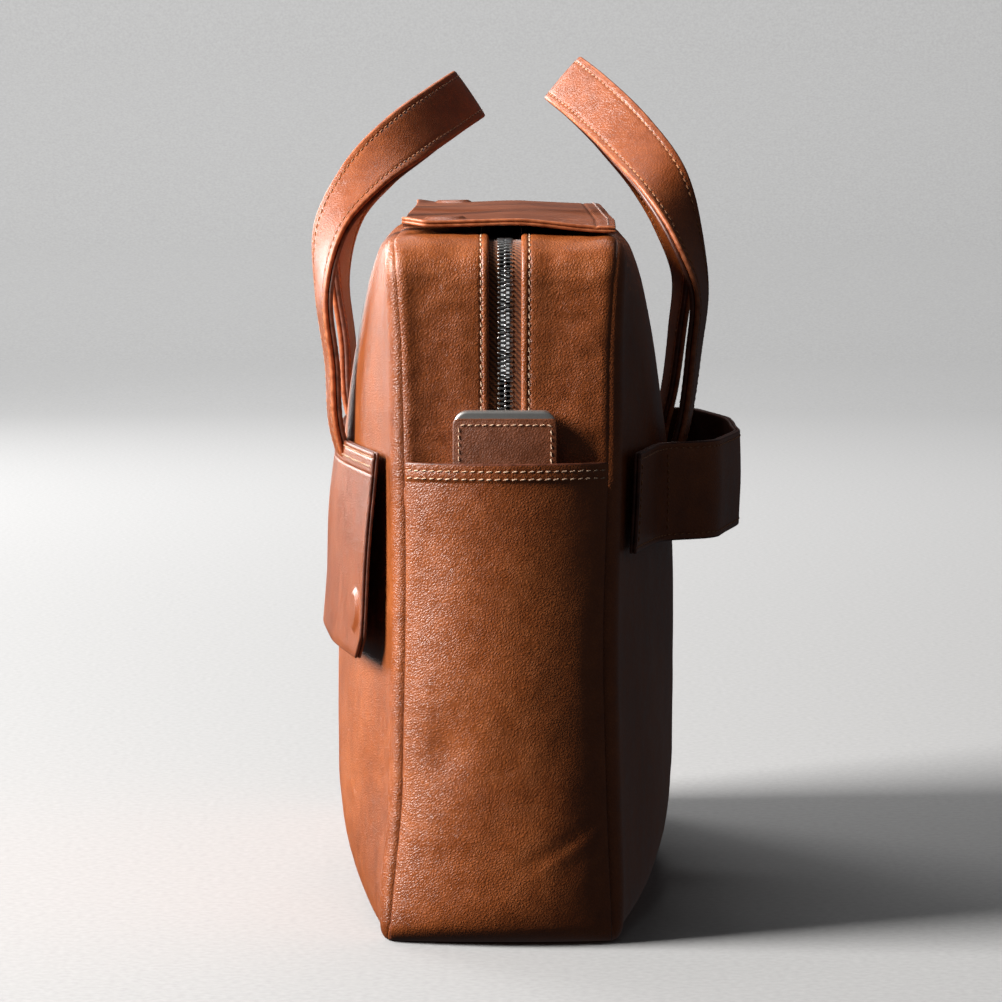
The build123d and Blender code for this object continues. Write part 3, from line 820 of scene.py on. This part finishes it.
# Each layer is (inset, distance off the gusset).
FRAME_LAYERS = ((1.4, 0.7), (0.5, 0.8), (0.12, 1.2), (0, 1.8), (0, 5.4), (0.12, 6.0), (0.5, 6.4), (1.4, 6.5))
loops = [case_loop(CASE_W - 2 * inset, CASE_H - 2 * inset, 6.0 - inset, off) for inset, off in FRAME_LAYERS]
piece = stack("pocket_case_frame", loops, [bright_metal])
place(piece, "pocket_case", "case_metal", "pocket_case_body")

FACE_LAYERS = ((0.3, 5.3), (0.0, 5.7), (0.0, 6.6), (0.15, 7.0), (0.6, CASE_THICK))
face_w, face_h = CASE_W + 0.7, CASE_H + 0.7 - SLEEVE_DROP
for name in ("inner", "outer"):
    loops = []
    for inset, off in FACE_LAYERS:
        off = off if name == "outer" else CASE_THICK - off
        loops.append(case_loop(face_w - 2 * inset, face_h - 2 * inset, 2.4 - inset, off, SLEEVE_DROP / 2))
    face = stack(f"pocket_case_face_{name}", loops, [case_leather])
    place(face, "pocket_case", "tan_leather", f"pocket_case_leather_{name}")
STITCH_INSET = 4.6
loop = case_loop(CASE_W - STITCH_INSET, CASE_H - SLEEVE_DROP - STITCH_INSET, 1.5, CASE_THICK, SLEEVE_DROP / 2)
loop = np.concatenate([loop, loop[:1]])
row = (loop, np.tile([0, -1.0, 0], (len(loop), 1)))
sew("pocket_case_stitches", [row], "pocket_case", pitch=3.0, length=2.2, width=0.6, height=0.35)

# ---------------------------------------------------------------- top flap


def two_plies(part, inside, surface_of, us, vs, on, thickness, leathers, *nodes, flip=False):
    """A part's outer leather and its lining. Gives back the outer ply's surface."""
    outer = surface_of(True)
    face, edge = leathers
    piece = sheet(f"{part}_leather", grid(outer, us, vs), thickness, [face, edge, under_leather], flip=flip)
    place(piece, on, "tan_leather", f"{part}_outer", *nodes)
    points = grid(surface_of(False), us, vs)
    piece = sheet(f"{part}_{inside}", points, 1.4, [under_leather, edge, under_leather], flip=flip)
    place(piece, on, "brown_edge_leather", f"{part}_lining")
    return outer


FLAP_HALF, CUT = 182.0, 9.0  # half a flap's length, and the size of its cut corners
PLY_GAP = 1.5  # between the faces of a flap's two plies
TOP_X = (-43.4, 46.4)  # the top flap's free and sewn edges
TOP_LEVEL = 303.1
TOP_MAGNET = (-25.5, 163.0)
BOSS_HEIGHT, BOSS_REACH = 1.3, 11.0
MAGNET_DEPTH = 2.7  # the discs' inner faces, in from the outer ply's face


def boss(distance, radius=9.0, shoulder=2.2):
    """The raised round that a magnet makes in the leather over it."""
    return ease((radius + 0.6 - distance) / shoulder)


def cut_half(distance):
    """Half the flap's length at a distance in from its free edge, with the corners cut off."""
    short = CUT - distance
    return FLAP_HALF - 0.5 * (short + np.sqrt(short * short + 1.2))


def top_flap_surface(outer_ply):
    """One ply of the top flap: x across the bag, v along it from -1 to 1."""
    level = TOP_LEVEL if outer_ply else TOP_LEVEL - PLY_GAP

    def surface(x, v):
        y = v * cut_half(x - TOP_X[0])
        base = np.stack([x, y, 0 * x], -1)
        dome = 1.5 * gauss(x - 6, 22) * (1 - 0.35 * v * v)
        lip = 1.6 * ease((-30 - x) / 14) * ease((np.abs(v) - 0.93) / 0.07)
        droop = 2.4 * ease((x - 4) / 40) * ease((np.abs(v) - 0.86) / 0.14)
        z = level + dome + lip - droop + ruffle(base, 55, 0.5, 41)
        if outer_ply:
            z = z + BOSS_HEIGHT * boss(np.hypot(x - TOP_MAGNET[0], np.abs(y) - TOP_MAGNET[1]))
            z = z - 0.4 * gauss(x - 38.2, 0.7)
        return np.stack([x, y, z], -1)
    return surface


def bossed_lines(step, middle):
    """Grid lines along a flap from -1 to 1, crowded over its two magnets."""
    low, high = (middle - BOSS_REACH) / FLAP_HALF, min(0.996, (middle + BOSS_REACH) / FLAP_HALF)
    return lines_between(-0.996, 0.996, step, (low, high, 0.005), (-high, -low, 0.005))


top_x = lines_between(TOP_X[0] + 0.7, TOP_X[1] - 0.7, 3.0,
                      (TOP_MAGNET[0] - BOSS_REACH, TOP_MAGNET[0] + BOSS_REACH, 0.9), (36, 40.4, 0.55),
                      (TOP_X[0] + 0.7, TOP_X[0] + 5, 1.0))
top_v = bossed_lines(0.03, TOP_MAGNET[1])
top_bend = ("shell", "top_flap", (0.0385, 0, 0.302), (0.0335, 0, 0.302))
# The outer ply's edges take the lighter edge paint: painted light.
outer = two_plies("top_flap", "underside", top_flap_surface, top_x, top_v, top_bend, 1.45,
                  (flap_leather, edge_paint_painted_light), "top_flap_sewn_edge")
rows = [along_surface(outer, 43.2, np.linspace(-0.985, 0.985, 200))]
sew("top_flap_stitches", rows, colour=brown_thread)


def magnets(name, seats, radius=7.5):
    """Discs between two plies: seats are (centre of the disc's inner face, outward normal)."""
    points, faces = [], []
    n = 32
    layers = ((0.0, radius - 0.2), (0.15, radius), (0.95, radius), (1.1, radius - 0.2))
    for centre, normal in seats:
        side = unit(np.cross(normal, [0.3, 1.0, 0.2]))
        other = np.cross(normal, side)
        angle = np.linspace(0, 2 * math.pi, n, endpoint=False)[:, None]
        faces += stack_faces(len(layers), n, len(points) * n)
        for up, r in layers:
            points.append(centre + normal * up + r * (side * np.cos(angle) + other * np.sin(angle)))
    return add_mesh(name, np.concatenate(points), faces, [plated_metal])


def ply_seats(surface, first, second, flip, depth, step=0.001):
    """Seats under a face at two mirrored places."""
    points, normals = along_surface(surface, first, second, flip=flip, step=step)
    return [(p - n * depth, n) for p, n in zip(points, normals)]


at = TOP_MAGNET[1] / FLAP_HALF
seats = ply_seats(outer, np.full(2, TOP_MAGNET[0]), np.array([-at, at]), False, MAGNET_DEPTH)
place(magnets("top_flap_magnet_discs", seats), "top_flap", "magnet_metal", "top_flap_magnets")

# ---------------------------------------------------------------- front flap

FLAP_Z = (118.0, 206.0)  # the front flap's free and sewn edges
FRONT_LIFT = 3.0
FRONT_MAGNET = (168.0, 138.0)


def front_flap_surface(outer_ply):
    """One ply of the front flap, on the -X side: v along it from -1 to 1, z up it."""
    lift = FRONT_LIFT if outer_ply else FRONT_LIFT - PLY_GAP

    def surface(v, z):
        y = v * cut_half(z - FLAP_Z[0])
        t = (FLAP_Z[1] - z) / (FLAP_Z[1] - FLAP_Z[0])
        top = panel_depth(y, np.full_like(y, FLAP_Z[1])) + 0.9
        bottom = 79.6 - 20.6 * (np.abs(y) / FLAP_HALF) ** 2
        clear = panel_depth(y, z) + 0.7 + 1.2 * ease(t * 2)
        x = np.maximum(top + (bottom - top) * t**0.85, clear)
        base = np.stack([0 * x, y, z], -1)
        x = x + lift + ruffle(base, 60, 1.2, 51) * ease(t * 3)
        if outer_ply:
            x = x + BOSS_HEIGHT * boss(np.hypot(np.abs(y) - FRONT_MAGNET[0], z - FRONT_MAGNET[1]))
            x = x - 0.3 * gauss(z - 203.6, 0.5) - 0.3 * gauss(z - 196.6, 0.5)
        return np.stack([-x, y, z], -1)
    return surface


front_z = lines_between(FLAP_Z[0] + 0.7, FLAP_Z[1] - 0.7, 3.2,
                        (FRONT_MAGNET[1] - BOSS_REACH, FRONT_MAGNET[1] + BOSS_REACH, 0.9),
                        (195.2, 198, 0.45), (202.6, 205.3, 0.45))
front_v = bossed_lines(0.028, FRONT_MAGNET[0])
front_bend = ("shell", "front_flap", (-0.078, 0, 0.1985), (-0.078, 0, 0.192))
outer = two_plies("front_flap", "underside", front_flap_surface, front_v, front_z, front_bend, 1.45,
                  (flap_leather, edge_paint), "front_flap_sewn_edge", flip=True)
rows = [along_surface(outer, np.linspace(-0.985, 0.985, 220), z, flip=True) for z in (203.6, 199.8)]
sew("front_flap_stitches", rows)
at = FRONT_MAGNET[0] / FLAP_HALF
seats = ply_seats(outer, np.array([-at, at]), np.full(2, FRONT_MAGNET[1]), True, MAGNET_DEPTH)
place(magnets("front_flap_magnet_discs", seats), "front_flap", "magnet_metal", "front_flap_magnets")


def panel_face(y, z):
    """The front panel's face under the flap."""
    return np.stack([-panel_depth(y, z), y, z], -1)


KEEPER_DEPTH = 3.4
keeper_y = np.array([-1, 1]) * FRONT_MAGNET[0]
seats = ply_seats(panel_face, keeper_y, np.full(2, FRONT_MAGNET[1]), True, KEEPER_DEPTH, 0.02)
place(magnets("front_panel_keepers", seats), "shell", "magnet_metal", "front_flap_keepers")

# ---------------------------------------------------------------- trolley band

BAND_Z = (163.0, 206.0)
BAND_ROWS = (165.8, 203.2)  # heights of its stitch rows
# Half of the band's course seen from above, from its near end to the middle of the loop.
BAND_POINTS = [(55.0, 182.0), (67.5, 119.0), (89.5, 107.0), (102.5, 42.0)]
BAND_RADII = [16.0, 20.0, 60.0]
BAND_LIFT, BAND_INSIDE_LIFT = 3.0, 1.4


def rounded_route(points, radii, steps=10):
    """A run of straight lines whose corners are rounded off."""
    points = [np.array(p, float) for p in points]
    route = [points[0]]
    for before, corner, after, radius in zip(points, points[1:], points[2:], radii):
        a, b = unit(before - corner), unit(after - corner)
        half = math.acos(float(np.clip(a @ b, -1, 1))) / 2
        shorter = min(np.linalg.norm(before - corner), np.linalg.norm(after - corner))
        reach = min(radius / math.tan(half), 0.48 * shorter)
        for k in range(steps + 1):
            t = k / steps
            start, end = corner + a * reach, corner + b * reach
            route.append(start * (1 - t) ** 2 + corner * 2 * t * (1 - t) + end * t * t)
    return np.array(route + [points[-1]])


far_side = [(x, -y) for x, y in BAND_POINTS[::-1]]
band_route = rounded_route(BAND_POINTS + far_side, BAND_RADII + BAND_RADII[::-1])
band_steps = lengths_along(band_route)
BAND_LENGTH = float(band_steps[-1])
band_tangent = unit(np.gradient(band_route, axis=0))


def band_surface(outer_ply):
    """One ply of the band: s along it, z up it. Its ends lie against the back panel."""
    lift = BAND_LIFT if outer_ply else BAND_INSIDE_LIFT

    def surface(s, z):
        x, y = (np.interp(s, band_steps, band_route[:, i]) for i in (0, 1))
        tx, ty = (np.interp(s, band_steps, band_tangent[:, i]) for i in (0, 1))
        length = np.hypot(tx, ty)
        nx, ny = -ty / length, tx / length
        end = np.clip((np.abs(y) - 116) / 66, 0, 1)
        panel = panel_depth(np.clip(np.abs(y), 0, 199), z)
        hug = np.where(end > 0, np.maximum(panel + 0.6 - x, -3), 0) * ease(end * 3)
        lean = 2.2 * end * (z - BAND_Z[0]) / 43
        belly = 0.9 * gauss(z - 184.5, 16) * (1 - ease(end * 4))
        height = lift + belly + ruffle(np.stack([0 * x, y, z], -1), 45, 0.8, 61)
        if outer_ply:
            for row in BAND_ROWS:
                height = height - 0.28 * gauss(z - row, 0.5)
        return np.stack([x + nx * height + hug + lean, y + ny * height, z], -1)
    return surface


band_s = np.sort(np.concatenate([np.linspace(0, BAND_LENGTH, 150), band_steps[2:-2]]))
band_s = band_s[np.concatenate([[True], np.diff(band_s) > 0.25])]
band_z = lines_between(BAND_Z[0] + 0.8, BAND_Z[1] - 0.8, 3.0, (165.0, 166.6, 0.4), (202.4, 204.0, 0.4))
outer = two_plies("trolley_band", "inside", band_surface, band_s, band_z, "shell", 1.5,
                  (tan, edge_paint), flip=True)
full = np.linspace(2, BAND_LENGTH - 2, 400)
rows = [along_surface(outer, full, z, flip=True) for z in BAND_ROWS]
upright = np.linspace(167.5, 201.5, 30)
for inset in (3.0, 62.0):  # the rows that cross the band, at its ends and where the loop starts
    rows += [along_surface(outer, s, upright, flip=True) for s in (inset, BAND_LENGTH - inset)]
sew("trolley_band_stitches", rows, colour=tan_thread)

# ---------------------------------------------------------------- handles

# From the foot of one leg to the top of the arch: the strap's centre, and the direction across
# its width. The strap twists through a quarter turn on the way.
FRONT_HALF = [
    ((-71.2, -96, 200.0), (0.13, -0.99, 0)), ((-73.6, -97, 209.8), (0.13, -0.99, 0)),
    ((-75.5, -99, 238), (0.13, -0.99, 0)), ((-79.0, -99, 270), (0.20, -0.98, 0)),
    ((-75.5, -93, 298), (0.50, -0.85, -0.12)), ((-62.3, -80, 319), (0.65, -0.65, -0.40)),
    ((-44.2, -58, 336.5), (0.74, -0.20, -0.66)), ((-28.0, -30, 348.5), (0.60, 0.0, -0.80)),
    ((-17.7, 0, 355.5), (0.565, 0, -0.825)),
]
BACK_HALF = [
    ((72.6, -97, 166.0), (-0.13, -0.99, 0)), ((72.9, -97, 180.0), (-0.13, -0.99, 0)),
    ((73.6, -97, 192.0), (-0.13, -0.99, 0)), ((78.8, -98, 216), (-0.13, -0.99, 0)),
    ((82.5, -99, 245), (-0.16, -0.98, 0)), ((84.6, -98, 269), (-0.22, -0.97, 0)),
    ((79.0, -93, 293), (-0.48, -0.87, -0.10)), ((69.9, -83, 316), (-0.68, -0.60, -0.42)),
    ((54.3, -58, 337.5), (-0.76, -0.20, -0.62)), ((38.5, -30, 353.5), (-0.67, 0.0, -0.74)),
    ((27.5, 0, 362.6), (-0.653, 0, -0.757)),
]
STRAP_HALF, STRAP_INSET = 12.5, 2.5  # half a strap's width, and its stitches' distance from its edge
STRAP_PLY = 2.25


def spline_table(values, knots, at):
    """A smooth curve through values at knots, read at many places."""
    slopes = np.gradient(values, knots, axis=0)
    i = np.clip(np.searchsorted(knots, at, side="right") - 1, 0, len(knots) - 2)
    gap = (knots[i + 1] - knots[i])[:, None]
    t = (at[:, None] - knots[i][:, None]) / gap
    a, b, ma, mb = values[i], values[i + 1], slopes[i] * gap, slopes[i + 1] * gap
    return ((2 * t**3 - 3 * t**2 + 1) * a + (t**3 - 2 * t**2 + t) * ma
            + (-2 * t**3 + 3 * t**2) * b + (t**3 - t**2) * mb)


def strap_surface(half, side, lift, sign):
    """One ply of a handle: s along it in millimetres, w across it from -1 to 1."""
    far = [((x, -y, z), (wx, -wy, wz)) for (x, y, z), (wx, wy, wz) in half[-2::-1]]
    centres = np.array([c for c, _ in half + far], float)
    across = unit(np.array([w for _, w in half + far], float))
    knots = lengths_along(centres)
    table = np.linspace(0, knots[-1], 1200)
    line, width = spline_table(centres, knots, table), spline_table(across, knots, table)
    along = unit(np.gradient(line, axis=0))
    width = unit(width - along * np.sum(along * width, -1, keepdims=True))
    outward = unit(np.cross(width, along)) * -side

    def surface(s, w):
        c, wd, out = (read_rows(s, table, rows) for rows in (line, width, outward))
        reach = (STRAP_HALF - 0.9) * w
        inset = np.abs(np.abs(w) * STRAP_HALF - (STRAP_HALF - STRAP_INSET))
        height = lift + 0.35 * (1 - w * w) - 0.32 * gauss(inset, 0.5)
        return c + wd * reach[..., None] + out * (sign * height)[..., None]

    return surface, float(knots[-1])


STRAP_W = np.array([-1, -0.97, -0.92, -0.87, -0.84, -0.82, -0.8, -0.78, -0.76, -0.72, -0.6, -0.4, -0.2, 0])
STRAP_W = np.concatenate([STRAP_W, -STRAP_W[-2::-1]])
# Each handle with its hinge at (x, z) in metres, and the length over which its foot bends.
HANDLES = (("front", FRONT_HALF, -1, (-0.0736, 0.207)), ("back", BACK_HALF, 1, (0.0736, 0.190)))
FOOT_BEND = 0.018
for name, half, side, (foot_x, foot_z) in HANDLES:
    bend = ("shell", f"handle_{name}", (foot_x, 0, foot_z), (foot_x, 0, foot_z + FOOT_BEND))
    for ply, sign in (("outer", 1), ("lining", -1)):
        surface, length = strap_surface(half, side, STRAP_PLY, sign)
        s = np.linspace(0.5, length - 0.5, 230)
        flip = (side * sign) < 0
        # The outer ply's edges take the lighter edge paint, painted light; the lining's edges take the plain
        # one.
        materials = [strap_leather, edge_paint_painted_light if sign > 0 else edge_paint, under_leather]
        points = grid(surface, s, STRAP_W)
        piece = sheet(f"handle_{name}_strap_{ply}", points, STRAP_PLY, materials, flip=flip)
        slot_name = "tan_leather" if sign > 0 else "brown_edge_leather"
        nodes = [f"handle_{name}_{ply}"] + (["handle_back_feet"] if name == "back" and sign < 0 else [])
        place(piece, bend, slot_name, *nodes)
        inset_w = (STRAP_HALF - STRAP_INSET) / STRAP_HALF
        fine = np.linspace(3, length - 3, 900)
        rows = [along_surface(surface, fine, w, flip=flip) for w in (-inset_w, inset_w)]
        sew(f"handle_{name}_stitches_{ply}", rows, bend, slot_name, colour=tan_thread)

# ---------------------------------------------------------------- CAD nodes that stay

STAYING = {
    dark_metal: ("zip_slider", "zip_pull", "zip_stops"),
    plated_metal: ("top_flap_keepers",),
    board: ("base_board",),
    tape_cloth: ("seam_binding_front", "seam_binding_back"),
}
for material, names in STAYING.items():
    for name in names:
        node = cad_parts[name]
        node.data.materials.clear()
        node.data.materials.append(material)
        if material == dark_metal:
            bevel = node.modifiers.new("eased_edges", "BEVEL")
            bevel.width, bevel.segments, bevel.limit_method = 0.00035, 3, "ANGLE"

# ---------------------------------------------------------------- floor, light, camera

floor_material, tree, shader = new_material("floor_grey", Roughness=0.95)
where = add_node(tree, "ShaderNodeTexCoord").outputs["Object"]
speckle = noise_of(tree, where, 300.0, Detail=4.0)
floor_colour = ramp(tree, speckle, [(0.3, grey(0.33)), (0.7, grey(0.38))])
tree.links.new(floor_colour, shader.inputs["Base Color"])

# The floor's bowl, as (radius, height) in metres.
STUDIO = ((2.6, 0.0), (3.2, 0.0), (3.7, 0.03), (4.2, 0.16), (4.6, 0.42), (4.85, 0.8), (4.95, 1.3),
          (5.0, 2.0), (5.0, 3.2))
turn = np.linspace(0, 2 * math.pi, 96, endpoint=False)
rings = np.array([[(r * math.cos(a), r * math.sin(a), z) for a in turn] for r, z in STUDIO]) / MM
index = np.arange(rings.shape[0] * rings.shape[1]).reshape(rings.shape[:2])
faces = [tuple(index[0])]
for low, high in zip(index[:-1], index[1:]):
    faces += [tuple(f) for f in join_loops(low, high)]
floor = add_mesh("studio_floor", rings, faces, [floor_material])
floor.visible_diffuse = floor.visible_glossy = False  # the bag is lit by the lamps alone


def area_light(name, place_at, aim, size, power, colour=(1, 1, 1)):
    data = bpy.data.lights.new(name, "AREA")
    data.shape, data.size, data.energy, data.color = "SQUARE", size, power, colour
    light = bpy.data.objects.new(name, data)
    light.location = place_at
    light.rotation_euler = (Vector(aim) - Vector(place_at)).to_track_quat("-Z", "Y").to_euler()
    bpy.context.scene.collection.objects.link(light)


area_light("key_light", (-2.25, -0.66, 1.4), (0, 0, 0.17), 1.3, 240.0, (1.0, 0.98, 0.96))
area_light("sheen_light", (-1.7, 2.3, 0.9), (-0.05, 0, 0.15), 1.2, 45.0, (1.0, 0.98, 0.97))
area_light("fill_light", (2.4, -2.4, 1.8), (0, 0, 0.15), 2.2, 1.2, (1.0, 0.97, 0.93))
area_light("top_light", (-0.2, 0.5, 2.6), (0, 0, 0.2), 1.4, 7.0)
area_light("backdrop_light", (-0.6, 2.4, 2.9), (-0.2, 4.4, 0.5), 2.0, 140.0)

world = bpy.data.worlds.new("studio")
world.use_nodes = True
sky = world.node_tree.nodes["Background"].inputs
sky["Color"].default_value = (0.9, 0.93, 1.0, 1.0)
sky["Strength"].default_value = 0.04
bpy.context.scene.world = world
bpy.context.scene.view_settings.view_transform = "Standard"

camera_data = bpy.data.cameras.new("camera")
camera_data.lens, camera_data.sensor_width = 168.8, 36.0
camera = bpy.data.objects.new("camera", camera_data)
camera.location = (0.0, -2.15, 0.3536)
camera.rotation_euler = Euler((math.radians(90 - 4.88), 0, math.radians(0.05)))
bpy.context.scene.collection.objects.link(camera)
bpy.context.scene.camera = camera
